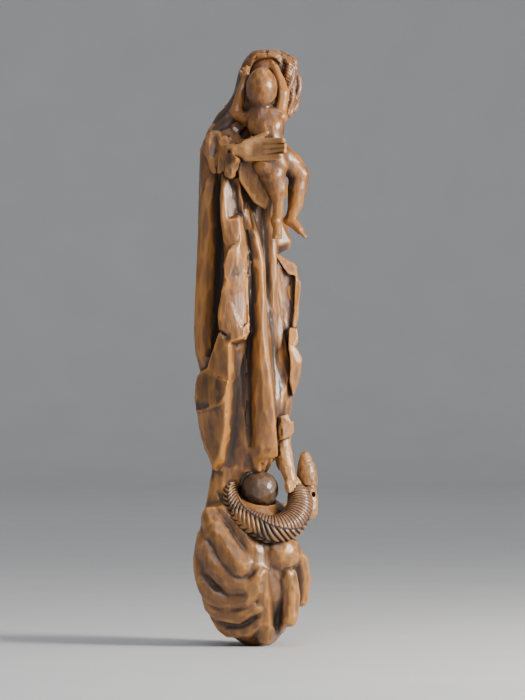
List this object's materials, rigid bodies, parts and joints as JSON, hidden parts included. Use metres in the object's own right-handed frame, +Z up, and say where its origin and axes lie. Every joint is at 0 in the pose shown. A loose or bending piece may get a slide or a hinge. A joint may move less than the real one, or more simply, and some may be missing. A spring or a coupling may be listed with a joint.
{
  "type": "madonna statue",
  "caption": "Carved and stained wooden Madonna holding the Child, standing on a globe with a serpent over a cloud base; stands on a flat foot or hangs by a keyhole plate",
  "frame": {"origin": "middle of the flat foot under the cloud, at the level of the surface it stands on", "axes": "+Z up; +Y points back through the flat back to the wall; -X is the Madonna's right-hand side"},
  "size_m": [0.108, 0.09, 0.4811],
  "materials": {
    "robe_wood": "brown stain under wax, darker in the folds, rubbed lighter on the edges",
    "cloud_wood": "brown stain under polished wax, gouge facets left showing",
    "globe_wood": "very dark stain, faceted, waxed",
    "serpent_wood": "brown stain with dark patina between cut scales",
    "head_wood": "brown stain under wax, smooth face, cut hair",
    "skin_wood": "smooth carved skin, lighter brown, waxed",
    "child_wood": "smooth carved skin, lighter brown, waxed",
    "dowel_wood": "plain turned beech",
    "plate_steel": "zinc plated, slightly dulled",
    "screw_steel": "bright zinc plated"
  },
  "bodies": {
    "root": {"cloud_base": "cloud_wood", "globe": "globe_wood", "serpent": "serpent_wood", "robe_and_mantle": "robe_wood", "madonna_head": "head_wood", "right_hand": "skin_wood", "madonna_foot": "skin_wood", "child_body": "child_wood", "child_left_arm": "child_wood", "child_right_arm": "child_wood", "rear_dowel": "dowel_wood", "globe_dowel": "dowel_wood", "neck_dowel": "dowel_wood", "hand_dowel": "dowel_wood", "foot_dowel": "dowel_wood", "child_dowel": "dowel_wood", "child_left_arm_dowel": "dowel_wood", "child_right_arm_dowel": "dowel_wood", "keyhole_plate": "plate_steel", "screw_left": "screw_steel", "screw_right": "screw_steel"}
  },
  "joints": []
}
